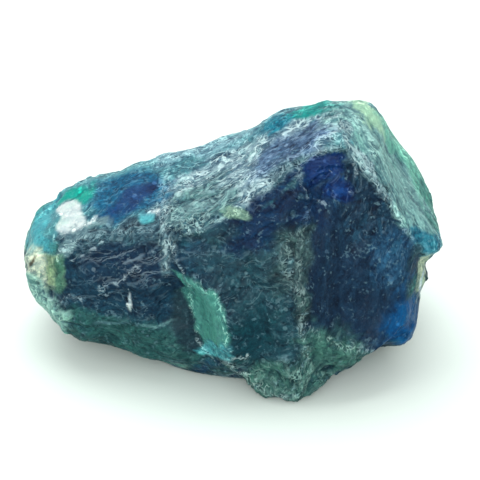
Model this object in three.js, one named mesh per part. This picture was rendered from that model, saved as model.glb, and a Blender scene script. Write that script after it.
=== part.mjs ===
// A rough piece of afghanite: one broken, chunky crystal mass, narrow at its left end and tall at its right.
//
// Frame: millimetres, +X to the right along the stone, +Y towards its back, +Z up. The origin is on the
// surface that the stone lies on, under the middle of its bounding box.
//
// The form starts as a cage of ribs. Each rib is a ring of ten corners round the stone: the main edges run
// from rib to rib, and the step and the keel on the front run along ribs. The cage is tessellated and its
// edges are worn round. Flat breaks cut the hidden sides, then lumps, shell-shaped chips and the ridges of
// the fibrous crystal roughen the surface, and the foot that the stone lies on is left flat.

import * as THREE from "three";
import { ImprovedNoise } from "three/addons/math/ImprovedNoise.js";

// ---- Driving dimensions ----

const TILES_PER_EDGE = 6; // small triangles along each edge of the cage
const WEAR = { passes: 3, share: 0.4 }; // rounds the edges to a radius of about half a millimetre

const LUMP = { size: 4.6, height: 0.36, start: 7.3 }; // broad swells and dips, and where their pattern starts
const CHIP = { size: 2.6, height: 0.55, stretch: 1.35 }; // shell-shaped chips with crests between them
const FIBRE = { size: 1.0, height: 0.14, stretch: 3.0 }; // fine ridges along the crystal's fibres

const FIBRE_ALONG = [0.95, -0.06, 0.31]; // the fibres' direction over most of the stone
const FIBRE_DOWN = [0.42, -0.3, -0.86]; // their direction on the right end face
const RIGHT_FACE_EDGE = { point: [3.5, 6.5, 17.0], normal: [0.87, 0.25, 0.43], blend: 1.6 };

// The foot is flat: the relief dies out over the lowest part of the stone, and a last sliver is ground away.
const FOOT = { fade: 1.4, ground: 0.15 };

// ---- The cage ----

// Corner order in every rib: 0 crest of the top face at the back, 1 upper front edge, 2 to 4 down the front,
// 5 lower front edge, 6 and 7 under the stone, front then back, 8 and 9 up the back.
// Each corner is [x, y, z], measured from the front foot, the lowest point of the front.
const RIBS = [
  // left end cap
  [[-18.2, 11.2, 9.4], [-18.4, 8.8, 9.1], [-18.4, 7.4, 7.6], [-18.3, 6.7, 6.1], [-17.9, 6.5, 4.6],
   [-17.1, 6.8, 3.1], [-16.9, 9.6, 2.2], [-17.2, 12.8, 2.7], [-17.7, 14.4, 5.0], [-17.9, 13.4, 6.9]],
  // left shoulder
  [[-16.1, 11.2, 10.9], [-15.8, 6.2, 9.8], [-16.1, 5.2, 8.4], [-16.2, 4.8, 6.4], [-15.9, 4.7, 4.3],
   [-15.3, 5.1, 1.8], [-15.3, 8.8, 0.8], [-15.4, 13.8, 1.0], [-16.0, 16.3, 4.6], [-16.1, 14.8, 7.6]],
  // left lobe
  [[-13.6, 11.2, 11.9], [-13.4, 4.8, 10.7], [-13.4, 3.9, 8.9], [-13.4, 3.7, 6.5], [-13.2, 3.8, 4.0],
   [-13.2, 4.8, 1.8], [-13.1, 7.6, 0.4], [-13.2, 14.4, 0.2], [-13.6, 17.0, 4.2], [-13.7, 15.6, 8.4]],
  // middle of the lobe
  [[-11.2, 11.3, 12.7], [-10.9, 4.1, 11.6], [-10.8, 3.2, 9.8], [-10.6, 2.9, 7.2], [-10.4, 2.8, 4.2],
   [-10.5, 3.9, 1.7], [-10.5, 6.4, 0.0], [-10.6, 14.0, 0.0], [-11.0, 16.8, 5.2], [-11.1, 16.2, 9.0]],
  // foot of the step between the lobe and the main mass
  [[-9.4, 11.7, 13.1], [-9.0, 3.5, 11.9], [-8.7, 3.0, 9.7], [-7.4, 3.2, 7.4], [-6.7, 2.7, 4.4],
   [-6.9, 2.4, 1.9], [-7.2, 3.8, 0.0], [-8.8, 13.6, 0.0], [-9.0, 17.2, 5.6], [-9.3, 16.6, 9.6]],
  // crest of the step
  [[-7.4, 12.0, 13.9], [-7.7, 2.5, 12.4], [-7.2, 1.8, 10.2], [-5.0, 0.8, 7.9], [-4.4, -0.1, 4.4],
   [-4.5, 1.2, 2.0], [-4.5, 3.0, 0.0], [-7.0, 14.6, 0.0], [-7.2, 18.3, 4.6], [-7.5, 17.0, 10.2]],
  // main mass
  [[-3.5, 12.2, 15.2], [-4.0, 2.9, 14.0], [-3.6, 1.9, 11.2], [-2.8, 1.3, 8.0], [-2.4, 0.7, 4.3],
   [-2.0, 0.6, 0.4], [-2.6, 2.8, 0.0], [-3.0, 14.8, 0.0], [-3.2, 18.7, 5.4], [-3.4, 17.6, 11.2]],
  // front keel, down to the front foot
  [[-0.4, 12.0, 17.1], [-0.4, 4.0, 16.3], [0.4, 2.2, 13.2], [0.2, 0.5, 9.1], [0.3, -0.4, 5.2],
   [0.2, -0.1, 0.0], [0.3, 2.4, 0.0], [0.0, 14.4, 0.0], [-0.2, 18.2, 6.6], [-0.3, 17.6, 13.0]],
  // hollow right of the keel, up to the apex
  [[2.2, 11.2, 18.2], [2.9, 4.7, 18.4], [3.0, 3.6, 13.7], [3.2, 1.3, 5.0], [3.2, 0.2, 4.0],
   [2.9, 1.8, 1.7], [2.9, 4.8, 0.0], [2.8, 13.8, 0.0], [2.6, 17.2, 6.8], [2.4, 17.2, 13.8]],
  // right side of the hollow
  [[5.6, 12.0, 17.5], [5.0, 4.0, 16.2], [5.4, 3.8, 12.5], [5.7, 1.9, 4.8], [5.6, 1.1, 3.7],
   [5.2, 3.2, 2.8], [5.1, 7.2, 0.0], [5.6, 14.0, 0.0], [6.0, 17.2, 5.4], [5.8, 16.6, 13.4]],
  // right end, front
  [[7.9, 11.9, 14.2], [7.2, 3.8, 12.8], [7.5, 3.9, 10.1], [7.7, 3.5, 7.2], [7.7, 3.1, 4.8],
   [7.6, 3.7, 2.4], [7.2, 7.5, 0.4], [7.4, 12.8, 0.6], [8.2, 15.4, 5.8], [8.0, 15.0, 11.0]],
  // right end, with the beak and the notch below it
  [[9.7, 10.2, 11.2], [10.5, 5.8, 9.3], [9.0, 5.9, 7.9], [9.6, 6.0, 6.6], [8.2, 5.0, 5.1],
   [8.3, 4.5, 2.6], [7.6, 8.3, 1.6], [8.0, 11.6, 2.2], [9.3, 13.4, 5.4], [9.5, 13.0, 8.4]],
];
const LEFT_TIP = [-19.2, 10.0, 6.4];
const RIGHT_END = [9.4, 8.2, 6.6];

// Flat breaks that cut the hidden sides. Everything beyond a break, along its normal, is gone.
const BREAKS = [
  { point: [-11.0, 14.3, 11.4], normal: [-0.12, 0.80, 0.58] }, // upper back, over the lobe
  { point: [6.0, 14.4, 13.8], normal: [0.45, 0.75, 0.48] }, // upper back, behind the apex
  { point: [-17.0, 14.0, 5.5], normal: [-0.75, 0.60, 0.25] }, // back corner of the left end
  { point: [8.8, 12.6, 6.4], normal: [0.93, 0.30, -0.20] }, // right end, behind the notch
  { point: [-1.0, 17.6, 7.0], normal: [-0.10, 0.99, 0.10] }, // middle of the back
];

// ---- Small vector helpers ----

const vector = (corner) => new THREE.Vector3(...corner);
const unit = (corner) => vector(corner).normalize();

// The same pseudo-random number from 0 to 1 for the same cell and channel, every time.
function random(i, j, k, channel) {
  const mixed = Math.sin(i * 127.1 + j * 311.7 + k * 74.7 + channel * 53.3) * 43758.5453;
  return mixed - Math.floor(mixed);
}

// ---- Cage to triangles ----

// Splits a four-sided panel along its shorter diagonal.
function panel(corners, a, b, c, d) {
  const shortAC = corners[a].distanceTo(corners[c]) <= corners[b].distanceTo(corners[d]);
  return shortAC ? [[a, b, c], [a, c, d]] : [[a, b, d], [b, c, d]];
}

function cage() {
  const corners = RIBS.flat().map(vector);
  const around = RIBS[0].length;
  const at = (rib, k) => rib * around + (k % around);
  const left = corners.push(vector(LEFT_TIP)) - 1;
  const right = corners.push(vector(RIGHT_END)) - 1;
  const last = RIBS.length - 1;
  const faces = [];
  for (let k = 0; k < around; k++) {
    faces.push([left, at(0, k + 1), at(0, k)], [right, at(last, k), at(last, k + 1)]);
    for (let rib = 0; rib < last; rib++) {
      faces.push(...panel(corners, at(rib, k), at(rib, k + 1), at(rib + 1, k + 1), at(rib + 1, k)));
    }
  }
  return { corners, faces };
}

// Divides every cage triangle into n x n equal ones and shares the points along common edges.
function tessellate({ corners, faces }, n) {
  const points = [];
  const known = new Map();
  const pointOf = (p) => {
    const key = p.toArray().map((v) => Math.round(v * 1e4)).join();
    if (!known.has(key)) known.set(key, points.push(p) - 1);
    return known.get(key);
  };
  const triangles = [];
  for (const [a, b, c] of faces) {
    const grid = (i, j) =>
      pointOf(
        corners[a].clone().multiplyScalar((n - i - j) / n)
          .addScaledVector(corners[b], i / n)
          .addScaledVector(corners[c], j / n),
      );
    for (let i = 0; i < n; i++) {
      for (let j = 0; j < n - i; j++) {
        triangles.push([grid(i, j), grid(i + 1, j), grid(i, j + 1)]);
        if (i + j < n - 1) triangles.push([grid(i + 1, j), grid(i + 1, j + 1), grid(i, j + 1)]);
      }
    }
  }
  return { points, triangles };
}

// ---- Worn edges and flat breaks ----

function neighboursOf(count, triangles) {
  const near = Array.from({ length: count }, () => new Set());
  for (const [a, b, c] of triangles) {
    near[a].add(b).add(c);
    near[b].add(c).add(a);
    near[c].add(a).add(b);
  }
  return near.map((set) => [...set]);
}

// Wears the edges round: each pass moves every point towards the middle of its neighbours.
function worn(points, neighbours) {
  let current = points;
  for (let pass = 0; pass < WEAR.passes; pass++) {
    current = current.map((p, index) => {
      const middle = new THREE.Vector3();
      neighbours[index].forEach((other) => middle.add(current[other]));
      return p.clone().lerp(middle.divideScalar(neighbours[index].length), WEAR.share);
    });
  }
  return current;
}

// Moves a point that lies beyond a break back onto it.
function cutBack(p) {
  for (const { point, normal } of BREAKS) {
    const beyond = p.clone().sub(vector(point)).dot(unit(normal));
    if (beyond > 0) p.addScaledVector(unit(normal), -beyond);
  }
}

function normalsOf(points, triangles) {
  const normals = points.map(() => new THREE.Vector3());
  const [ab, ac] = [new THREE.Vector3(), new THREE.Vector3()];
  for (const [a, b, c] of triangles) {
    ab.subVectors(points[b], points[a]);
    ac.subVectors(points[c], points[a]);
    ab.cross(ac);
    for (const corner of [a, b, c]) normals[corner].add(ab);
  }
  return normals.map((normal) => normal.normalize());
}

// ---- Relief ----

const perlin = new ImprovedNoise();

// Middle values of the two patterns below, taken off so that the relief adds as much as it takes away.
const MEAN_CHIP = 0.35;
const MEAN_RIDGE = 0.5;

// A frame whose first axis runs along the fibres.
function fibreFrame(along) {
  const first = unit(along);
  const second = new THREE.Vector3(0, 1, 0).cross(first).normalize();
  return [first, second, first.clone().cross(second)];
}
const MAIN_FRAME = fibreFrame(FIBRE_ALONG);
const RIGHT_FRAME = fibreFrame(FIBRE_DOWN);

// The point in cells of the given size, drawn out along the fibres.
function inCells(p, frame, { size, stretch }) {
  return [p.dot(frame[0]) / (size * stretch), p.dot(frame[1]) / size, p.dot(frame[2]) / size];
}

// Shell-shaped hollows of uneven size round scattered centres, with crests where they meet: near 0 in a
// hollow, towards 1 on a crest.
function chips([x, y, z]) {
  const [i0, j0, k0] = [Math.floor(x), Math.floor(y), Math.floor(z)];
  let nearest = 1;
  for (let i = i0 - 1; i <= i0 + 1; i++) {
    for (let j = j0 - 1; j <= j0 + 1; j++) {
      for (let k = k0 - 1; k <= k0 + 1; k++) {
        const dx = i + random(i, j, k, 1) - x;
        const dy = j + random(i, j, k, 2) - y;
        const dz = k + random(i, j, k, 3) - z;
        const start = random(i, j, k, 4) * 0.3;
        nearest = Math.min(nearest, start + dx * dx + dy * dy + dz * dz);
      }
    }
  }
  return nearest;
}

// Sharp-crested ridges, from 0 to 1.
const ridges = ([x, y, z]) => 1 - Math.abs(perlin.noise(x, y, z)) * 2;

// How far a point belongs to the right end face, from 0 to 1.
function onRightFace(p) {
  const { point, normal, blend } = RIGHT_FACE_EDGE;
  return THREE.MathUtils.smoothstep(p.clone().sub(vector(point)).dot(unit(normal)), -blend, blend);
}

// Chips and fibres that lie along the given frame, in millimetres.
function brokenCrystal(p, frame) {
  const chipped = (chips(inCells(p, frame, CHIP)) - MEAN_CHIP) * CHIP.height;
  return chipped + (ridges(inCells(p, frame, FIBRE)) - MEAN_RIDGE) * FIBRE.height;
}

// How far the surface stands out from the worn cage at a point, in millimetres.
function relief(p) {
  const lumps = perlin.noise(p.x / LUMP.size, p.y / LUMP.size + LUMP.start, p.z / LUMP.size) * LUMP.height;
  const [main, right] = [MAIN_FRAME, RIGHT_FRAME].map((frame) => brokenCrystal(p, frame));
  const aboveFoot = THREE.MathUtils.smoothstep(p.z, 0, FOOT.fade);
  return aboveFoot * (lumps + THREE.MathUtils.lerp(main, right, onRightFace(p)));
}

// ---- The stone ----

function stoneGeometry() {
  const { points, triangles } = tessellate(cage(), TILES_PER_EDGE);
  const smooth = worn(points, neighboursOf(points.length, triangles));
  smooth.forEach(cutBack);
  const normals = normalsOf(smooth, triangles);
  const broken = smooth.map((p, index) => p.clone().addScaledVector(normals[index], relief(p)));
  const lowest = Math.min(...broken.map((p) => p.z));
  broken.forEach((p) => { p.z = Math.max(p.z - lowest - FOOT.ground, 0); });

  const geometry = new THREE.BufferGeometry();
  geometry.setAttribute("position", new THREE.Float32BufferAttribute(broken.flatMap((p) => p.toArray()), 3));
  geometry.setIndex(triangles.flat());
  geometry.computeBoundingBox();
  const centre = geometry.boundingBox.getCenter(new THREE.Vector3());
  geometry.translate(-centre.x, -centre.y, 0);
  geometry.computeVertexNormals();
  return geometry;
}

const afghanite = new THREE.MeshStandardMaterial({ color: 0x24495e, roughness: 0.42, metalness: 0 });

const stone = new THREE.Mesh(stoneGeometry(), afghanite);
stone.name = "stone";

const specimen = new THREE.Group();
specimen.name = "afghanite specimen";
specimen.add(stone);

export default specimen;
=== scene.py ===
"""Looks of the afghanite specimen: a rough blue-green stone on a white table.

The CAD node "stone" gives the form. The piece built here is that form with its fracture surface finished:
finer chips, fibres and strands in the mesh, and a material of noise-edged colour patches under a net of
whitish lines. Features of the stone are placed by pixel: a place in the 480 x 480 picture, which a ray
from the camera turns into a point of the stone. Lengths are in mm unless a name says otherwise.
"""

import math
from dataclasses import dataclass

import bmesh
import bpy
import numpy as np
from mathutils import Matrix, Vector, noise
from mathutils.bvhtree import BVHTree


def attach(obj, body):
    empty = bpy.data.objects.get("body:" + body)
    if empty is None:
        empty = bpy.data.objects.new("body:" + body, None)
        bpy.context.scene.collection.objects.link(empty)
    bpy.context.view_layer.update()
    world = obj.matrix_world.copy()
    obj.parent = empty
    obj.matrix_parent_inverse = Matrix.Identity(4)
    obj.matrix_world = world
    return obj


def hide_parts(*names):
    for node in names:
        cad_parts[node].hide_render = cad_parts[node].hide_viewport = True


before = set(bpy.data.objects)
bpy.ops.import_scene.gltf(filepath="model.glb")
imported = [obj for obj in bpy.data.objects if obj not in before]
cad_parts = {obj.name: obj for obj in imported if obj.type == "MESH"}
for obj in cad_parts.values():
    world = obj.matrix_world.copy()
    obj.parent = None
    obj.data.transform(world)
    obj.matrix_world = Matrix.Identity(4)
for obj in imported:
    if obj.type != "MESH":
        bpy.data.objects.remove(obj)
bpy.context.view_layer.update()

MM = 0.001
NOISE_SEED = 6
noise.seed_set(NOISE_SEED)  # vector noise differs from run to run without a seed

# ---- Camera ----

IMAGE = 480  # pixels across the square picture
LENS, SENSOR = 135.0, 36.0
DISTANCE = 126.0
NEAREST = 5.0  # what is nearer to the camera is not drawn
ELEVATION = math.radians(30)  # how far the camera looks down
TARGET = Vector((0.7, -0.53, 8.19))

RIGHT = Vector((1, 0, 0))
UP = Vector((0, math.sin(ELEVATION), math.cos(ELEVATION)))
BACK = RIGHT.cross(UP)  # from the target to the camera
EYE = TARGET + BACK * DISTANCE


def add_camera():
    data = bpy.data.cameras.new("camera")
    data.lens, data.sensor_width = LENS, SENSOR
    data.clip_start = NEAREST * MM
    camera = bpy.data.objects.new("camera", data)
    turn = Matrix((RIGHT, UP, BACK)).transposed().to_4x4()
    camera.matrix_world = Matrix.Translation(EYE * MM) @ turn
    bpy.context.scene.collection.objects.link(camera)
    bpy.context.scene.camera = camera


def stone_tree():
    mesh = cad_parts["stone"].data
    return BVHTree.FromPolygons([v.co / MM for v in mesh.vertices], [p.vertices for p in mesh.polygons])


TREE = stone_tree()


def seen_at(pixel):
    """The point of the stone that the picture shows at a pixel, or the nearest to a pixel just off it."""
    per_pixel = SENSOR / LENS / IMAGE
    x = (pixel[0] - IMAGE / 2) * per_pixel
    y = (IMAGE / 2 - pixel[1]) * per_pixel
    ray = RIGHT * x + UP * y - BACK
    hit = TREE.ray_cast(EYE, ray.normalized())[0] or TREE.find_nearest(EYE + ray * DISTANCE)[0]
    return np.array(hit)


def linear(shade):
    """An sRGB colour such as "#2B4C5A" as linear RGB, by the standard's own curve."""
    parts = np.array([int(shade[i : i + 2], 16) / 255 for i in (1, 3, 5)])
    return np.where(parts <= 0.04045, parts / 12.92, ((parts + 0.055) / 1.055) ** 2.4)


# ---- The colours of the mineral ----

ALBEDO = (0.39, 0.44, 0.445, 1)  # turns a shade as it looks in the light into the colour of the surface
FROST = (0.59, 0.68, 0.675, 1)  # the same for the whitish lines
DARKER = (0.3, 0.42, 0.52, 1)  # this and the next three multiply a surface colour
GREENER = (0.95, 1.12, 1.0, 1)
PALER = (1.7, 1.6, 1.5, 1)
PALEST = (2.6, 2.2, 2.0, 1)
FLECK = (0.08, 0.15, 0.18, 1)  # the surface colour of the grey flecks

# Shades as they look in the light.
SHADES = {
    "white": "#F2FAFA",
    "bone white": "#F0F4F2",
    "cream": "#E4EAD0",
    "sand": "#CCD8BA",
    "pale olive": "#A2B890",
    "umber": "#6E6450",
    "sage": "#7E9E8C",
    "pale mint": "#9AC6BA",
    "lime": "#BEE8C4",
    "mint green": "#78C4B0",
    "leaf": "#5C8C74",
    "sea green": "#54998E",
    "emerald": "#08B2A0",
    "deep emerald": "#009A94",
    "turquoise": "#5CBAC4",
    "dull turquoise": "#5A9AA4",
    "pale turquoise": "#86B2BE",
    "soft cyan": "#4FA2AA",
    "peacock": "#068098",
    "beak blue": "#2E7E94",
    "cobalt": "#06568E",
    "sea blue": "#106A90",
    "dull blue": "#265070",
    "indigo": "#0C4276",
    "deep navy": "#0E3A76",
    "navy": "#0A3054",
    "slate": "#18344E",
    "ink": "#243F4A",
    "teal ink": "#12424E",
    "deep teal": "#244C58",
    "lobe teal": "#1A4056",
    "slate teal": "#1C3C54",
    "underside": "#30605F",
    "dull steel": "#40606E",
    "steel": "#9EB8C0",
    "grey steel": "#74929A",
    "grey sage": "#648A8E",
    "violet grey": "#567496",
    "grey green": "#84B2B0",
    "moss": "#446F68",
    "olive": "#3C5558",
}
SHADES = {name: linear(shade) for name, shade in SHADES.items()}

# ---- Where the colours and the pale strands lie ----

SQUARENESS = 3  # 2 makes round patches, and more makes them squarer
RAGGED_EASE = 0.6  # added to a patch's size, so that a ragged border doesn't break a small one up
# The ways that fibres run, and how long a drawn one is for its width. The first is where no patch says.
FLOWS = {
    "band": ((0.93, 0.10, 0.36), 1.9),
    "steep": ((0.15, 0.10, 1.0), 2.6),
    "falling": ((0.42, -0.30, -0.86), 4.0),
    "long": ((0.95, -0.06, 0.31), 5.0),
}
OTHER_FLOWS = list(FLOWS)[1:]


@dataclass
class Patch:
    """An area of one colour and finish: an ellipsoid about a point of the surface."""

    name: str
    pixel: tuple  # its middle
    size: tuple  # half-lengths along and across its long axis
    turn: float  # degrees from the picture's horizontal, anticlockwise
    shade: str
    lines: float = 0.5  # how much of the whitish net it has
    gloss: float = 0.4  # 0 rough and frosted, 1 smooth and glassy
    rise: float = 0.0  # how far it stands above what is round it
    edge: float = 0.6  # width of its border, as a share of its size
    ragged: float = 1.0  # how ragged that border is
    depth: float = 3.0  # half-length into the picture
    facing: str = "any"  # "top" keeps it to the faces that look up, "side" to the others
    flow: str = ""  # the way its fibres run, a name in FLOWS, or as round it

    def share(self, points, upward, ragged):
        """How far each point belongs to the patch, from 0 to 1. The noise in ragged moves its border."""
        angle = math.radians(self.turn)
        along = RIGHT * math.cos(angle) + UP * math.sin(angle)
        axes = np.array((along, BACK.cross(along), BACK))
        local = (points - seen_at(self.pixel)) @ axes.T / (*self.size, self.depth)
        distance = np.linalg.norm(local, ord=SQUARENESS, axis=1)
        distance = distance + self.ragged * ragged / (min(self.size) + RAGGED_EASE)
        share = smooth(1 + self.edge / 2, 1 - self.edge / 2, distance)
        return share * {"any": 1, "top": upward, "side": 1 - upward}[self.facing]

    def finish(self):
        """Its lines, gloss and rise, and 1 for its own flow."""
        return (self.lines, self.gloss, self.rise, *(self.flow == name for name in OTHER_FLOWS))


# A patch lies over those before it.
PATCHES = [
    # the broad areas
    Patch("main front", (258, 300), (5.0, 6.0), 0, "deep teal", lines=0.4, depth=5, facing="side"),
    Patch("right front", (360, 270), (4.5, 7.0), 0, "slate",
          lines=0.15, depth=5, flow="steep", facing="side"),
    Patch("lobe front", (120, 278), (7.0, 4.0), 0, "lobe teal",
          lines=0.35, gloss=0.3, depth=4, flow="long", facing="side"),
    Patch("lobe navy", (128, 260), (2.9, 1.2), 0, "slate", lines=0.65, gloss=0.4, edge=1.2),
    Patch("lobe underside", (125, 338), (6.5, 1.4), -8, "underside", lines=0.2, edge=0.9, depth=4),
    # painted shade: the lobe's corner beside the step is darkened where shade falls
    Patch("painted shade in the lobe's corner", (188, 318), (1.2, 2.6), 0, "ink", lines=0.1, gloss=0.5),
    Patch("top band", (238, 178), (8.0, 2.6), 31, "steel",
          lines=0.8, gloss=0.0, edge=0.35, depth=4, facing="top"),
    Patch("top band, greyer end", (195, 208), (2.8, 2.0), 28, "grey sage",
          lines=0.65, gloss=0.0, facing="top"),
    Patch("violet top", (290, 150), (3.2, 1.3), 28, "violet grey", lines=0.5, gloss=0.1, facing="top"),
    Patch("right face", (394, 172), (7.0, 1.9), -56, "grey green",
          lines=0.4, gloss=0.3, edge=0.2, depth=6, flow="falling"),
    # the top edge
    Patch("top edge, left", (126, 170), (3.5, 0.6), 17, "dull turquoise",
          lines=0.6, rise=0.2, facing="top"),
    Patch("top edge, middle", (215, 141), (5.0, 0.8), 22, "pale turquoise",
          lines=0.6, gloss=0.2, rise=0.1, facing="top"),
    Patch("blue top", (278, 121), (1.7, 0.6), 25, "peacock", lines=0.05),
    Patch("emerald top", (314, 112), (1.6, 0.6), 5, "deep emerald", lines=0.05),
    Patch("apex", (344, 118), (1.2, 0.9), 0, "grey green", lines=0.6, gloss=0.1),
    Patch("crest of the right ridge", (358, 152), (4.2, 0.45), -58, "grey steel",
          lines=0.7, gloss=0.0, flow="falling"),
    Patch("lime corner", (367, 108), (1.7, 0.7), -48, "lime", lines=0.2, gloss=0.6),
    Patch("green edge", (408, 155), (4.6, 0.7), -62, "mint green",
          lines=0.3, gloss=0.5, flow="falling"),
    Patch("green edge, lower", (432, 205), (2.0, 0.6), -75, "sea green", lines=0.4),
    Patch("beak", (428, 240), (1.2, 0.7), -10, "beak blue", lines=0.4),
    # the front
    Patch("navy under the band", (288, 208), (4.4, 1.8), 22, "navy", lines=0.15, facing="side"),
    Patch("grey blue under the band", (280, 176), (2.0, 0.55), 30, "dull steel",
          lines=0.5, gloss=0.2, edge=0.9),
    Patch("navy along the band's edge", (270, 196), (2.4, 0.55), 35, "navy", lines=0.4, edge=0.8),
    Patch("crinkles by the ridge", (358, 208), (3.4, 1.6), -50, "slate teal",
          lines=0.35, gloss=0.1, facing="side"),
    Patch("navy hollow", (322, 170), (1.4, 0.8), 25, "deep navy",
          lines=0.2, gloss=0.5, rise=-0.2, edge=0.3),
    Patch("navy hollow, lower", (334, 190), (1.2, 0.8), 10, "deep navy",
          lines=0.4, gloss=0.3, rise=-0.1),
    Patch("blue by the hollow", (392, 262), (1.3, 2.2), 0, "dull blue",
          lines=0.3, gloss=0.2, facing="side"),
    Patch("navy of the hollow", (366, 320), (1.4, 1.4), 0, "slate",
          lines=0.1, gloss=0.6, edge=1.0, facing="side"),
    Patch("cobalt corner", (406, 325), (1.6, 2.0), -8, "cobalt", lines=0.1, gloss=0.6, edge=0.9),
    Patch("green of the keel", (288, 262), (2.3, 1.0), 80, "olive",
          lines=0.3, gloss=0.2, edge=1.2, facing="side"),
    Patch("keel", (302, 285), (4.4, 0.5), 88, "olive", lines=0.35, gloss=0.1, edge=1.0, flow="steep"),
    Patch("green ledge", (332, 350), (2.8, 1.2), -20, "moss", lines=0.3, gloss=0.3, edge=0.9),
    Patch("green foot", (280, 380), (3.2, 1.3), -6, "moss",
          lines=0.5, gloss=0.2, edge=0.9, flow="steep"),
    Patch("side of the foot, left", (270, 389), (0.9, 0.6), -25, "moss",
          lines=0.5, gloss=0.2, rise=0.38, edge=1.2, flow="steep"),
    Patch("side of the foot, right", (318, 385), (1.0, 0.6), 45, "moss",
          lines=0.5, gloss=0.2, rise=0.38, edge=1.2, flow="steep"),
    Patch("dark teal flank", (255, 335), (2.0, 1.6), 40, "teal ink",
          lines=0.1, edge=1.0, facing="side"),
    Patch("crest of the step", (165, 214), (2.8, 0.5), 93, "grey steel",
          lines=1.0, gloss=0.0, edge=1.0, flow="steep"),
    Patch("green riser, upper", (197, 294), (1.3, 0.55), 125, "sea green",
          lines=0.3, gloss=0.4, flow="steep"),
    Patch("green riser", (210, 322), (2.3, 1.0), 98, "sea green",
          lines=0.1, gloss=0.7, edge=0.3, ragged=0.6, flow="steep"),
    Patch("cyan end of the riser", (217, 350), (1.1, 0.55), -10, "soft cyan",
          lines=0.5, gloss=0.4, flow="band"),
    Patch("pale flake", (240, 214), (0.8, 0.45), -15, "sage",
          lines=0.4, gloss=0.5, rise=0.05, edge=0.3, ragged=0.6),
    Patch("pale rim of the notch", (422, 278), (0.4, 1.3), 0, "sand", lines=0.4),
    Patch("white streak of the notch", (422, 284), (0.9, 0.12), 78, "white",
          lines=0.0, edge=0.7, ragged=0.2),
    # the left end
    Patch("end", (38, 228), (1.5, 2.6), 20, "sea green", lines=0.3, gloss=0.6),
    Patch("blue of the lobe top", (126, 196), (3.0, 1.8), 20, "sea blue", lines=0.4, gloss=0.3),
    Patch("indigo streak", (118, 204), (1.8, 0.4), 35, "indigo", lines=0.2, gloss=0.6, edge=1.2),
    Patch("indigo streak, second", (140, 196), (1.4, 0.35), 45, "indigo", lines=0.2, edge=1.2),
    Patch("line of the underside", (112, 324), (1.2, 0.08), -3, "grey sage",
          lines=0.0, edge=0.8, ragged=0.15),
    Patch("line of the underside, second", (156, 323), (1.3, 0.08), 4, "grey sage",
          lines=0.0, edge=0.8, ragged=0.15),
    Patch("steel rim", (125, 232), (3.8, 0.8), 6, "dull steel", lines=0.45, gloss=0.1),
    Patch("grey shard", (94, 224), (1.0, 0.6), 35, "grey steel", lines=0.4, gloss=0.6),
    Patch("cyan spot", (143, 219), (0.5, 0.2), 15, "turquoise",
          lines=0.1, gloss=0.6, edge=0.8, ragged=0.4),
    Patch("white chip by the cyan spot", (153, 213), (0.4, 0.12), -15, "white",
          lines=0.0, edge=0.6, ragged=0.2),
    Patch("roof of the end", (92, 219), (0.6, 0.16), 50, "white", lines=0.0, edge=0.6, ragged=0.2),
    Patch("hook", (128, 300), (0.75, 0.1), 80, "bone white",
          lines=0.0, rise=0.08, edge=0.6, ragged=0.25),
    Patch("slope above the end", (47, 203), (1.4, 0.6), 38, "turquoise",
          lines=0.1, gloss=0.6, rise=-0.3, facing="top"),
    Patch("emerald patch", (75, 196), (1.2, 0.7), 20, "emerald", lines=0.05, gloss=0.8),
    Patch("turquoise end", (43, 232), (1.2, 2.0), -20, "turquoise", lines=0.1, gloss=0.7),
    Patch("peacock of the end", (54, 226), (0.5, 1.0), 10, "dull turquoise", lines=0.1, gloss=0.8),
    # a painted highlight: the glossy face at the end is painted near white where it reflects the light
    Patch("white face, a painted highlight", (71, 217), (1.0, 1.05), 30, "bone white",
          lines=0.0, gloss=0.8, edge=0.3, ragged=0.4),
    Patch("pale shard", (70, 240), (1.2, 0.4), 50, "grey steel", lines=0.5, gloss=0.6),
    Patch("olive of the chip", (50, 271), (0.9, 1.2), 0, "pale olive",
          lines=0.3, gloss=0.5, ragged=0.5),
    Patch("cream chip", (36, 268), (0.9, 1.3), 0, "cream", lines=0.4, gloss=0.5),
    Patch("brown of the chip", (31, 262), (0.5, 0.12), 70, "umber", lines=0.0, edge=1.0),
    Patch("brown of the chip, lower", (31, 284), (0.4, 0.2), 30, "umber", lines=0.0, edge=1.0),
    Patch("leaf streak", (58, 276), (1.2, 0.35), 85, "leaf", lines=0.3, gloss=0.4, edge=1.4),
    Patch("mint rim", (44, 306), (2.2, 0.8), -52, "pale mint", lines=0.5, rise=0.3),
]


@dataclass
class Vein:
    """Pale strands along a line of the surface: one thin line, or a bundle where it is wide."""

    name: str
    pixels: list
    width: float = 0.12
    strength: float = 0.7  # how pale it is
    rise: float = 0.06  # how far it stands out

    def distance(self, points):
        """Distance of each point from the strands' line."""
        line = [seen_at(pixel) for pixel in self.pixels]
        return np.min([segment_distance(points, a, b) for a, b in zip(line, line[1:])], axis=0)


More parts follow.
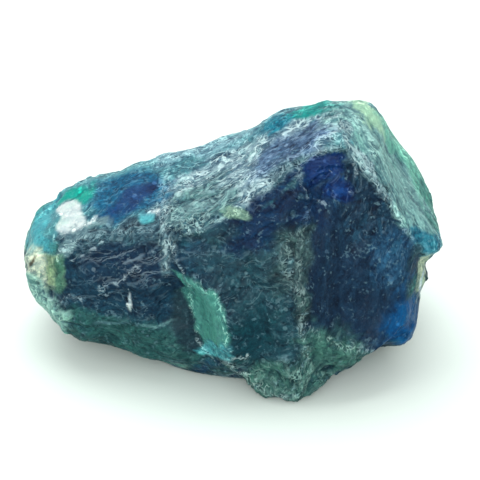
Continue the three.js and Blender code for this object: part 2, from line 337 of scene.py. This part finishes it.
VEINS = [
    Vein("edge of the step", [(166, 172), (163, 205), (167, 238), (170, 248)], 0.7, 0.8, 0.08),
    Vein("edge of the step, lower", [(170, 248), (177, 264), (188, 284), (190, 300)], 0.3, 0.9, 0.08),
    Vein("crest of the step", [(168, 226), (171, 244), (176, 260)], 0.3, 0.9, 0.1),
    Vein("edge of the riser", [(190, 300), (197, 325), (200, 345), (214, 360)], 0.3, 0.6),
    Vein("outer edge of the riser", [(214, 290), (224, 312), (225, 340), (232, 356)], 0.25, 0.7),
    Vein("keel", [(308, 210), (300, 236), (298, 262), (297, 292), (303, 322)], 0.45, 0.2, 0.08),
    Vein("green of the keel", [(286, 240), (284, 260), (290, 286)], 0.6, 0.1, 0.04),
    Vein("ledge", [(303, 322), (322, 338), (344, 348), (372, 352)], 0.5, 0.5, 0.08),
    Vein("foot", [(300, 328), (306, 352), (309, 374), (298, 398)], 0.5, 0.5),
    Vein("foot, left", [(226, 364), (244, 374), (262, 384), (284, 396)], 0.8, 0.8),
    Vein("right ridge", [(336, 122), (350, 144), (363, 165), (379, 189), (396, 213), (411, 238)],
         0.45, 0.5, 0.1),
    Vein("right ridge, inner", [(342, 138), (351, 150), (356, 166), (355, 178), (351, 193)], 0.25, 0.8),
    Vein("streak of the navy hollow", [(329, 170), (340, 176)], 0.15, 0.9),
    Vein("apex", [(328, 122), (342, 116)], 0.4, 0.5),
    Vein("rim of the navy hollow", [(300, 178), (306, 196), (326, 204)], 0.2, 0.6),
    Vein("upper rim of the navy hollow", [(298, 170), (310, 154), (330, 148), (346, 158)], 0.3, 0.4),
    Vein("edge of the band", [(178, 236), (204, 227), (226, 217), (247, 201), (262, 186)], 0.4, 0.3),
    Vein("hook", [(125, 311), (131, 300), (129, 289)], 0.12, 1.0),
    Vein("roof streak", [(85, 226), (92, 217), (99, 222)], 0.15, 1.0),
    Vein("white streak", [(148, 216), (150, 211), (158, 214)], 0.15, 1.0),
    Vein("rim of the turquoise end", [(30, 212), (40, 204), (57, 198)], 0.3, 0.5),
    Vein("inner rim of the end", [(58, 214), (54, 232), (60, 246), (56, 262)], 0.2, 0.7),
    Vein("riser crinkles", [(224, 357), (236, 360), (246, 357)], 0.4, 1.0),
    Vein("crinkled rim", [(66, 250), (84, 240), (108, 232), (150, 228)], 0.6, 0.2, 0.06),
    Vein("lobe streak, upper", [(66, 262), (86, 254), (104, 242)], 0.2, 0.7),
    Vein("lobe streak, middle", [(100, 290), (116, 284), (136, 270), (152, 262)], 0.3, 0.7),
    Vein("lobe streak, lower", [(84, 298), (104, 296), (122, 290)], 0.2, 0.6),
    Vein("lobe streak by the step", [(152, 254), (160, 262), (168, 272)], 0.3, 0.7),
    Vein("lobe swirl", [(60, 306), (68, 296), (80, 298), (84, 310)], 0.2, 0.6),
]

# ---- Noise and shapes over arrays of points ----


def smooth(low, high, x):
    """0 at low and 1 at high, with a smooth rise between. High may be the lower of the two."""
    t = np.clip((x - low) / (high - low), 0, 1)
    return t * t * (3 - 2 * t)


def mix(a, b, share):
    return a + (b - a) * share


def segment_distance(points, a, b):
    t = np.clip((points - a) @ (b - a) / ((b - a) @ (b - a)), 0, 1)
    return np.linalg.norm(points - a - t[:, None] * (b - a), axis=1)


def noise_at(points, size, shift):
    return np.array([noise.noise(Vector(p)) for p in points / size + shift])


def layered(points, layers):
    """Noise of several sizes, added up."""
    return sum(share * noise_at(points, size, shift) for share, size, shift in layers)


def wander(points, bends):
    """The points, moved by up to the reach of each bend in turn."""
    for size, reach, shift in bends:
        points = points + np.array([noise.noise_vector(Vector(p)) for p in points / size + shift]) * reach
    return points


ROUGHNESS, LACUNARITY, OCTAVES, OFFSET, GAIN = 0.9, 2.1, 3, 1.0, 2.0


def ridged(points, size):
    """Sharp-crested noise, from about 0 in the hollows to 1 on the crests."""
    settings = (ROUGHNESS, LACUNARITY, OCTAVES, OFFSET, GAIN)
    values = [noise.ridged_multi_fractal(Vector(p), *settings) for p in points / size]
    return np.array(values) / 2


# A cell's middle times one of these is a place in the noise that no other cell shares.
SLANT_KEY, HEIGHT_KEY = 7.31, 3.17
HALF = Vector((0.5, 0.5, 0.5))


def plates(points, size, tilt, shift):
    """Height of overlapping scales: each cell of the stone stands at its own height and its own slant."""
    heights = []
    for p in points / size + shift:
        middle = noise.voronoi(Vector(p))[1][0]
        slant = noise.cell_vector(middle * SLANT_KEY) - HALF
        heights.append(noise.cell(middle * HEIGHT_KEY) - 0.5 + tilt * slant.dot(Vector(p) - middle))
    return np.array(heights)


def fibre_axes(direction):
    """The way of the fibres, and two ways across it."""
    first = Vector(direction).normalized()
    second = Vector((0, 1, 0)).cross(first).normalized()
    return first, second, first.cross(second)


def fibre_frame(direction):
    """Turns points into a frame squeezed along the fibres, so that what is drawn there comes out long."""
    first, second, third = fibre_axes(direction)
    return np.array((first / STRETCH, second, third))


# ---- The stone's mesh ----

CUTS = 3  # in each CAD edge, so 16 triangles for one
MERGE = 0.001  # CAD corners nearer than this are one
ON_TABLE = 0.01  # what is lower than this is the foot, and isn't smoothed
SMOOTH_PASSES, SMOOTH_SHARE = 8, 0.5
FACET_PASSES = 12  # rings of neighbours over which a normal is evened out
RELIEF_PASSES = 5  # rings that a crest or a hollow is told from
EDGE_PASSES = 14  # rings that an edge of the stone is told from
EDGE_HEIGHTS = (0.03, 0.12)  # how far a faint and a sharp edge stand out from those rings
# Strands along the stone's edges are partly pale wear, partly a painted highlight on the edges.
EDGE_WIDTH, EDGE_PALE = 0.5, 0.4  # the strands along an edge
RELIEF_REACH = 0.08  # height from the deepest hollow to the highest crest
FOOT_FADE = 0.4  # height above the table over which the relief dies out

STRETCH = 2.6  # length of a fibre of the mesh for its width
UPWARD = (0.5, 0.68)  # heights of a face's normal: it starts to look up at one, and does so at the other
UPWARD_NOISE = [(0.12, 0.6, 8.0)]  # added to that height, so that the border isn't straight
GLASSY_RELIEF = 0.2  # the share of the relief that a glassy face keeps

# The relief's scales, each layer with its height, size, slant and shift, and its ridges.
SCALES = [(0.08, 1.0, 1.0, 0.0), (0.03, 0.45, 0.8, 4.0)]
RIDGE_HEIGHT, RIDGE_SIZE = 0.06, 0.5

# Noise is added up from layers. Each has a share, a size and a shift.
DRIFT = [(1.0, 5.0, 0.0), (0.5, 1.8, 7.0)]
DRIFT_ALONG_FIBRES = [(0.2, 0.5, 9.0)]
OTHER = [(1.0, 1.6, 21.0), (0.4, 0.5, 23.0)]
RAGGED = [(0.9, 1.1, 11.0), (0.5, 0.45, 13.0), (0.25, 0.2, 0.0)]
STRAND_NOISE = [(2.0, 0.3, 6.0)]
GRIT = [(0.015, 0.25, 0.0)]

# Points are moved about in steps, so that what is read there bends. Each has a size, a reach and a shift.
PATCH_BENDS = [(1.7, 0.5, 0.0)]
VEIN_BENDS = [(0.7, 0.22, 2.0), (0.3, 0.1, 4.0)]
FIBRE_BENDS = [(2.2, 0.7, 5.0), (0.8, 0.3, 9.0)]

# Where no patch lies the stone is slate. Then each shade takes over, up to a share of the colour, as a
# noise goes from one value to another.
GROUND = [
    ("deep teal", "drift", 1.0, -0.4, 0.0),
    ("moss", "drift", 1.0, 0.0, 0.35),
    ("sea green", "drift", 1.0, 0.3, 0.6),
    ("grey steel", "other", 0.8, 0.15, 0.5),
    ("dull blue", "other", 0.8, -0.2, -0.5),
]
# The paler pair on top is in part painted light from above.
GROUND_TOP_LIGHT = (-0.2, 0.2)  # the same for the paler pair on top
GROUND_LINES, GROUND_GLOSS = 0.6, 0.3


def fine_mesh():
    """The CAD stone with smaller, smoothed triangles."""
    bm = bmesh.new()
    bm.from_mesh(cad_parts["stone"].data)
    bmesh.ops.remove_doubles(bm, verts=bm.verts, dist=MERGE * MM)
    bmesh.ops.subdivide_edges(bm, edges=bm.edges, cuts=CUTS, use_grid_fill=True)
    bmesh.ops.triangulate(bm, faces=[f for f in bm.faces if len(f.verts) > 3])
    above = [v for v in bm.verts if v.co.z > ON_TABLE * MM]
    every_way = {"use_axis_x": True, "use_axis_y": True, "use_axis_z": True}
    for _ in range(SMOOTH_PASSES):
        bmesh.ops.smooth_vert(bm, verts=above, factor=SMOOTH_SHARE, **every_way)
    mesh = bpy.data.meshes.new("afghanite")
    bm.to_mesh(mesh)
    bm.free()
    mesh.attributes.remove(mesh.attributes["custom_normal"])
    mesh.shade_smooth()
    return mesh


def read(collection, key, width):
    values = np.empty(len(collection) * width, np.float32)
    collection.foreach_get(key, values)
    return values.reshape(-1, width).astype(float)


def store(mesh, name, values):
    layer = mesh.attributes.new(name, "FLOAT_VECTOR", "POINT")
    layer.data.foreach_set("vector", values.astype(np.float32).ravel())


def evened(mesh, values, passes):
    """Values at the vertices, evened out over rings of neighbours."""
    ends = np.empty(len(mesh.edges) * 2, np.int32)
    mesh.edges.foreach_get("vertices", ends)
    a, b = ends.reshape(-1, 2).T
    count = len(values)
    near = 1 + np.bincount(a, minlength=count) + np.bincount(b, minlength=count)
    for _ in range(passes):
        columns = [c + np.bincount(a, c[b], count) + np.bincount(b, c[a], count) for c in values.T]
        values = np.stack(columns, axis=1) / near[:, None]
    return values


def ground_colour(drift, other, upward):
    """The colour where no patch lies: clouds of a few shades, and a paler pair where the stone faces up.
    The paler pair is in part painted light from above.
    """
    fields = {"drift": drift, "other": other}
    colour = SHADES["slate"]
    for shade, field, most, start, end in GROUND:
        share = most * smooth(start, end, fields[field])
        colour = mix(colour, SHADES[shade], share[:, None])
    # in part painted light from above: where the stone faces up it takes a paler pair of shades
    above = mix(SHADES["grey steel"], SHADES["dull turquoise"], smooth(*GROUND_TOP_LIGHT, drift)[:, None])
    return mix(colour, above, upward[:, None])


def patchwork(points, fibres, upward):
    """The colour and the finish at each point. A finish is the lines, the gloss, the rise and a share for
    each of OTHER_FLOWS."""
    drift = layered(points, DRIFT) + layered(fibres, DRIFT_ALONG_FIBRES)
    ragged = layered(fibres, RAGGED)
    colour = ground_colour(drift, layered(fibres, OTHER), upward)
    finish = np.zeros((len(points), 3 + len(OTHER_FLOWS)))
    finish[:, :2] = GROUND_LINES, GROUND_GLOSS
    for patch in PATCHES:
        share = patch.share(points, upward, ragged)[:, None]
        colour = mix(colour, SHADES[patch.shade], share)
        target = np.tile(patch.finish(), (len(points), 1)).astype(float)
        if not patch.flow:
            target[:, 3:] = finish[:, 3:]
        finish = mix(finish, target, share)
    return colour, finish


def veins(points, edges):
    """For the nearest strands to each point: how far off their line is, how wide and how pale they are.
    The second result is how far they stand out there. Strands also lie along the stone's own edges, where
    they are partly pale wear and partly a painted highlight."""
    distance = (1 - edges) * EDGE_WIDTH
    near = distance / EDGE_WIDTH
    width = np.full(len(points), EDGE_WIDTH)
    pale = np.full(len(points), EDGE_PALE)
    rise = np.zeros(len(points))
    for vein in VEINS:
        off = vein.distance(points)
        nearer = off / vein.width < near
        near = np.where(nearer, off / vein.width, near)
        distance = np.where(nearer, off, distance)
        width = np.where(nearer, vein.width, width)
        pale = np.where(nearer, vein.strength, pale)
        rise = np.maximum(rise, smooth(vein.width, 0.0, off) * vein.rise)
    return np.stack((distance, width, pale), axis=1), rise


def stone_edges(mesh, points, normals):
    """How sharp an edge of the stone each point lies on, from 0 to 1."""
    stands_out = np.sum((points - evened(mesh, points, EDGE_PASSES)) * normals, axis=1)
    return smooth(*EDGE_HEIGHTS, stands_out)


def in_flows(points):
    """The points in the frame of each flow, bent a little, so that no fibre is straight."""
    bent = wander(points, FIBRE_BENDS)
    return [bent @ fibre_frame(direction).T for direction, _ in FLOWS.values()]


def chosen(flows, shares):
    """The points in the frame of the flow that has most of the share."""
    fibres = flows[0]
    for other, share in zip(flows[1:], shares.T):
        fibres = np.where(share[:, None] > 0.5, other, fibres)
    return fibres


def relief_height(points, fibres, finish, strand):
    """How far each point stands off the smooth stone."""
    _, gloss, rise = finish[:, :3].T
    scales = sum(height * plates(fibres, size, tilt, shift) for height, size, tilt, shift in SCALES)
    height = scales + RIDGE_HEIGHT * (ridged(fibres, RIDGE_SIZE) - 0.5) + layered(points, GRIT)
    strand = strand * (1 + layered(fibres, STRAND_NOISE))
    height = height * mix(1.0, GLASSY_RELIEF, gloss) + rise + strand
    return height * smooth(0, FOOT_FADE, points[:, 2])


def build_stone():
    mesh = fine_mesh()
    points = read(mesh.vertices, "co", 3) / MM
    normals = read(mesh.vertex_normals, "vector", 3)
    facets = evened(mesh, normals, FACET_PASSES)
    upward = smooth(*UPWARD, facets[:, 2] + layered(points, UPWARD_NOISE))
    flows = in_flows(points)
    colour, finish = patchwork(wander(points, PATCH_BENDS), flows[0], upward)
    edges = stone_edges(mesh, points, normals)
    vein, strand = veins(wander(points, VEIN_BENDS), edges)

    height = relief_height(points, chosen(flows, finish[:, 3:]), finish, strand)
    placed = (points + normals * height[:, None]) * MM
    placed[:, 2] = np.maximum(placed[:, 2], 0)
    # crests and hollows of the relief: the material paints shade into the hollows and partly a highlight
    # onto the crests
    crests = height - evened(mesh, height[:, None], RELIEF_PASSES)[:, 0]
    relief = np.clip(0.5 + crests / RELIEF_REACH, 0, 1)

    mesh.vertices.foreach_set("co", placed.astype(np.float32).ravel())
    store(mesh, "tint", colour)
    store(mesh, "finish", np.column_stack((finish[:, :2], relief)))
    store(mesh, "vein", vein)
    store(mesh, "flow", finish[:, 3:])
    stone = bpy.data.objects.new("afghanite", mesh)
    bpy.context.scene.collection.objects.link(stone)
    return stone


# ---- Material ----


class Nodes:
    """Adds nodes to a material's tree, so that the material reads as formulas."""

    def __init__(self, tree):
        self.tree = tree

    def add(self, kind, inputs=None, output=0, **settings):
        node = self.tree.nodes.new("ShaderNode" + kind)
        for name, value in settings.items():
            setattr(node, name, value)
        for key, value in (inputs or {}).items():
            if isinstance(value, bpy.types.NodeSocket):
                self.tree.links.new(value, node.inputs[key])
            else:
                node.inputs[key].default_value = value
        return node.outputs[output] if node.outputs else node

    def math(self, operation, a, b=0.0):
        return self.add("Math", {0: a, 1: b}, operation=operation)

    def product(self, a, b):
        return self.math("MULTIPLY", a, b)

    def greater(self, a, b):
        return self.math("MAXIMUM", a, b)

    def off_middle(self, value):
        """How far a noise is from its middle value."""
        return self.math("ABSOLUTE", self.math("SUBTRACT", value, 0.5))

    def mix(self, share, a, b):
        return self.add("Mix", {0: share, 6: a, 7: b}, output=2, data_type="RGBA")

    def mix_vector(self, share, a, b):
        return self.add("Mix", {0: share, 4: a, 5: b}, output=1, data_type="VECTOR")

    def times(self, a, b):
        return self.add("Mix", {0: 1.0, 6: a, 7: b}, output=2, data_type="RGBA", blend_type="MULTIPLY")

    def toned(self, share, base, tone):
        """The base, multiplied by a tone as far as share says."""
        return self.mix(share, base, self.times(base, tone))

    def ramp(self, value, low, high, to_low=0.0, to_high=1.0):
        """value from low to high, turned smoothly into to_low to to_high."""
        inputs = {0: value, 1: low, 2: high, 3: to_low, 4: to_high}
        return self.add("MapRange", inputs, interpolation_type="SMOOTHSTEP")

    def scaled(self, vector, factor):
        return self.add("VectorMath", {0: vector, 3: factor}, operation="SCALE")

    def sum(self, a, b):
        return self.add("VectorMath", {0: a, 1: b}, operation="ADD")

    def noise(self, place, size, detail=2.0):
        return self.add("TexNoise", {"Vector": place, "Scale": 1 / size, "Detail": detail})

    def noise_vector(self, place, size, detail=2.0):
        return self.add("TexNoise", {"Vector": place, "Scale": 1 / size, "Detail": detail}, output=1)

    def cells(self, place, size):
        """A Voronoi texture's node."""
        return self.add("TexVoronoi", {"Vector": place, "Scale": 1 / size}).node

    def split(self, vector):
        node = self.add("SeparateXYZ", {0: vector}).node
        return node.outputs[0], node.outputs[1], node.outputs[2]

    def stored(self, name):
        """The three parts of a vector that the mesh carries."""
        return self.split(self.add("Attribute", output=1, attribute_name=name))


BEND_SIZE, BEND_REACH = 2.0, 1.6
CURL_SIZE, CURL_REACH = 0.5, 0.18
CLOUD_SIZE, MOTTLE_SIZE, GRAIN_SIZE, SPECK_SIZE = 1.1, 0.5, 0.32, 0.2
LONG_CRINKLE, FINE_CRINKLE = 0.8, 0.35  # sizes
LONG_WIDTH, FINE_WIDTH = 0.045, 0.05  # of the noise's values that a crinkle covers
FINE_SHARE = 0.7  # how strong a fine crinkle is, next to a long one
# The last size is that of the cells that the painted glints lie in.
CLUMP_SIZE, TANGLE_SIZE, GLINT_SIZE = 0.5, 0.42, 1.3
ROUGHEST, SMOOTHEST = 0.55, 0.24
BUMP_DEPTH = 0.1
GLOW_DEPTH = 0.4  # how deep light goes into the crystal


def squeezed(n, place, direction, stroke):
    """The place in a frame squeezed along the fibres, so that noise read there comes out long."""
    turn = Matrix(fibre_axes(direction)).transposed().to_euler()
    inputs = {"Vector": place, "Rotation": turn, "Scale": (stroke, 1, 1)}
    return n.add("Mapping", inputs, vector_type="TEXTURE")


def along_flow(n, drawn, flow):
    """The place in the frame of the flow that the mesh carries."""
    ways = [squeezed(n, drawn, direction, stroke) for direction, stroke in FLOWS.values()]
    fibres = ways[0]
    for way, share in zip(ways[1:], flow):
        fibres = n.mix_vector(n.ramp(share, 0.45, 0.55), fibres, way)
    return fibres


def clouded(n, base, drawn, fibres, rough):
    """Clouds and mottles of darker, greener and paler stone. Also the noise that places the flecks."""
    clouds = n.split(n.noise_vector(fibres, CLOUD_SIZE, 3))
    base = n.toned(n.product(n.ramp(clouds[0], 0.52, 0.36), rough), base, DARKER)
    base = n.toned(n.ramp(clouds[1], 0.5, 0.66, 0.0, 0.6), base, GREENER)
    mottle = n.split(n.noise_vector(drawn, MOTTLE_SIZE, 3))
    base = n.toned(n.product(n.ramp(mottle[0], 0.5, 0.38, 0.0, 0.7), rough), base, DARKER)
    base = n.toned(n.product(n.ramp(mottle[1], 0.54, 0.68), rough), base, PALER)
    return base, mottle[2]


def grained(n, base, shade, speck, flecked, rough):
    """Grains and specks, each a little darker or paler than the next, and flecks of grey."""
    base = n.toned(n.product(n.ramp(shade, 0.4, 0.0, 0.0, 0.7), rough), base, DARKER)
    base = n.toned(n.product(n.ramp(shade, 0.6, 1.0, 0.0, 0.5), rough), base, PALER)
    base = n.toned(n.product(n.ramp(speck, 0.46, 0.34, 0.0, 0.8), rough), base, DARKER)
    base = n.toned(n.product(n.ramp(speck, 0.58, 0.68, 0.0, 0.8), rough), base, PALER)
    flecks = n.product(n.ramp(flecked, 0.54, 0.68, 0.0, 0.6), n.ramp(speck, 0.48, 0.56))
    return n.mix(n.product(flecks, rough), base, FLECK)


def line_and_shadow(n, fibres, size, width, detail):
    """Thin wavy lines where a noise crosses its middle value, and a painted shadow along one side of them.
    """
    off = n.math("SUBTRACT", n.noise(fibres, size, detail), 0.5)
    line = n.ramp(n.math("ABSOLUTE", off), width, width * 0.3)
    # painted shadow: a dark band along one side of each line
    shadow = n.ramp(n.math("ABSOLUTE", n.math("SUBTRACT", off, width * 1.6)), width * 1.4, 0.0)
    return line, shadow


def crinkles(n, fibres, lines):
    """The net of whitish lines and the painted shadow beside them, broken up, and less so where there are
    many.
    """
    kept = n.math("ADD", n.noise(fibres, 0.4, 1), n.product(lines, 0.12))
    kept = n.ramp(kept, 0.52, 0.66)
    long_line, long_shadow = line_and_shadow(n, fibres, LONG_CRINKLE, LONG_WIDTH, 1)
    fine_line, fine_shadow = line_and_shadow(n, fibres, FINE_CRINKLE, FINE_WIDTH, 2)
    line = n.product(n.greater(long_line, n.product(fine_line, FINE_SHARE)), kept)
    shadow = n.product(n.greater(long_shadow, n.product(fine_shadow, FINE_SHARE)), kept)
    return line, shadow


def vein_strands(n, place, fibres):
    """The placed veins: a tangle of whitish strands about their line, and a broken one along it. The
    second result is how pale they are."""
    distance, width, strength = n.stored("vein")
    clump = n.split(n.noise_vector(place, CLUMP_SIZE, 3))
    wobble = n.product(n.math("SUBTRACT", clump[0], 0.5), 0.6)
    distance = n.math("ADD", distance, wobble)
    inside = n.ramp(distance, width, n.product(width, 0.2))
    tangle = n.split(n.noise_vector(fibres, TANGLE_SIZE, 1.5))
    first, second = (n.ramp(n.off_middle(value), 0.045, 0.01) for value in tangle[:2])
    strand = n.product(n.greater(first, second), n.ramp(clump[1], 0.36, 0.56))
    middle = n.product(n.ramp(distance, 0.09, 0.03), n.ramp(tangle[2], 0.44, 0.54))
    middle = n.product(middle, n.ramp(width, 0.3, 0.2))
    white = n.greater(n.product(strand, inside), middle)
    return white, n.product(inside, strength)


def lined(n, base, tint, place, fibres, lines, relief):
    """Painted shade in the hollows, whitish crinkles with a painted shadow on one side, and the placed
    veins.
    The other results are the whitish colour, and how far the lines stand out and their painted shadows lie
    low."""
    # painted shade: the hollows of the relief are darkened
    base = n.toned(n.ramp(relief, 0.45, 0.1, 0.0, 0.6), base, DARKER)
    strand, bundle = vein_strands(n, place, fibres)
    line, shadow = crinkles(n, fibres, lines)
    shadow = n.product(shadow, n.greater(lines, bundle))
    # paler crests: partly pale wear, partly a painted highlight where light catches them
    crest = n.ramp(relief, 0.6, 1.0, 0.0, 0.3)
    white = n.greater(n.product(n.greater(line, crest), lines), strand)
    whiteness = n.product(n.greater(n.product(lines, 0.8), bundle), 0.5)
    frost = n.times(n.mix(whiteness, n.times(tint, PALEST), (*SHADES["white"], 1)), FROST)
    # painted shadow: the stone is darkened along one side of each whitish line
    base = n.toned(n.product(shadow, 0.8), base, DARKER)
    base = n.mix(n.product(white, 0.65), base, frost)
    return base, frost, n.math("SUBTRACT", white, shadow)


def with_painted_glints(n, base, place, frost):
    """Painted glints: a few pale dots on the surface, painted in as small highlights."""
    glint_cells = n.cells(place, GLINT_SIZE)
    kept = n.ramp(n.split(glint_cells.outputs["Color"])[0], 0.72, 0.74)
    glints = n.product(n.ramp(glint_cells.outputs["Distance"], 0.15, 0.1), kept)
    return n.mix(n.product(glints, 0.35), base, frost)


def stone_surface(n):
    """The stone's colour, its gloss, and the height of its texture."""
    place = n.scaled(n.add("TexCoord", output=3), 1 / MM)
    tint = n.add("Attribute", output=0, attribute_name="tint")
    lines, gloss, relief = n.stored("finish")
    flow = n.stored("flow")
    bend = n.scaled(n.noise_vector(place, BEND_SIZE, 1), BEND_REACH)
    curl = n.scaled(n.noise_vector(place, CURL_SIZE, 2), CURL_REACH)
    drawn = n.sum(n.sum(place, bend), curl)
    fibres = along_flow(n, drawn, flow)
    rough = n.math("SUBTRACT", 1.0, gloss)

    base, flecked = clouded(n, n.times(tint, ALBEDO), drawn, fibres, rough)
    shade = n.split(n.cells(fibres, GRAIN_SIZE).outputs["Color"])[0]
    speck = n.noise(place, SPECK_SIZE, 2)
    base = grained(n, base, shade, speck, flecked, rough)
    base, frost, standing = lined(n, base, tint, place, fibres, lines, relief)
    # painted glints: pale dots that stand in for small highlights
    base = with_painted_glints(n, base, place, frost)

    height = n.math("ADD", n.product(shade, 0.3), n.product(speck, 0.6))
    height = n.math("ADD", height, n.product(standing, 0.3))
    return base, gloss, height


def stone_material():
    material = bpy.data.materials.new("afghanite")
    material.use_nodes = True
    tree = material.node_tree
    tree.nodes.clear()
    n = Nodes(tree)
    base, gloss, height = stone_surface(n)
    bump = n.add("Bump", {"Strength": 0.8, "Distance": BUMP_DEPTH * MM, "Height": height})
    shader = n.add(
        "BsdfPrincipled",
        {
            "Base Color": base,
            "Roughness": n.ramp(gloss, 0.0, 1.0, ROUGHEST, SMOOTHEST),
            "Normal": bump,
            "IOR": 1.4,
            "Specular IOR Level": 0.08,
            "Subsurface Weight": 0.12,
            "Subsurface Radius": (0.4, 0.9, 1.0),
            "Subsurface Scale": GLOW_DEPTH * MM,
        },
    )
    n.add("OutputMaterial", {0: shader})
    return material


# ---- Table and light ----

TABLE_HALF = 1.5  # m
TABLE_COLOUR = (0.52, 0.588, 0.551, 1)
TABLE_ROUGHNESS = 0.8
SKY_STRENGTH = 1.3
# The lamps: where each stands, its size and its power in watts.
LAMPS = {
    "overhead": ((-35, 85, 250), 240, 0.64),
    "fill": ((-5, -260, 95), 260, 0.83),
}


def add_table():
    half = TABLE_HALF
    corners = [(-half, -half, 0), (half, -half, 0), (half, half, 0), (-half, half, 0)]
    mesh = bpy.data.meshes.new("table")
    mesh.from_pydata(corners, [], [(0, 1, 2, 3)])
    material = bpy.data.materials.new("white table")
    material.use_nodes = True
    shader = material.node_tree.nodes["Principled BSDF"]
    shader.inputs["Base Color"].default_value = TABLE_COLOUR
    shader.inputs["Roughness"].default_value = TABLE_ROUGHNESS
    mesh.materials.append(material)
    table = bpy.data.objects.new("table", mesh)
    bpy.context.scene.collection.objects.link(table)


def add_lamp(name, place, size, power):
    data = bpy.data.lights.new(name, "AREA")
    data.shape, data.size, data.energy = "DISK", size * MM, power
    lamp = bpy.data.objects.new(name, data)
    lamp.location = Vector(place) * MM
    lamp.rotation_euler = (Vector(place) - TARGET).to_track_quat("Z", "Y").to_euler()
    bpy.context.scene.collection.objects.link(lamp)


def add_sky():
    world = bpy.data.worlds.new("studio")
    world.use_nodes = True
    background = world.node_tree.nodes["Background"]
    background.inputs["Color"].default_value = (1, 1, 1, 1)
    background.inputs["Strength"].default_value = SKY_STRENGTH
    bpy.context.scene.world = world


add_camera()
add_table()
add_sky()
for lamp_name, lamp in LAMPS.items():
    add_lamp(lamp_name, *lamp)

stone = build_stone()
stone.data.materials.append(stone_material())
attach(stone, "root")
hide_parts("stone")

bpy.context.scene.view_settings.view_transform = "Standard"
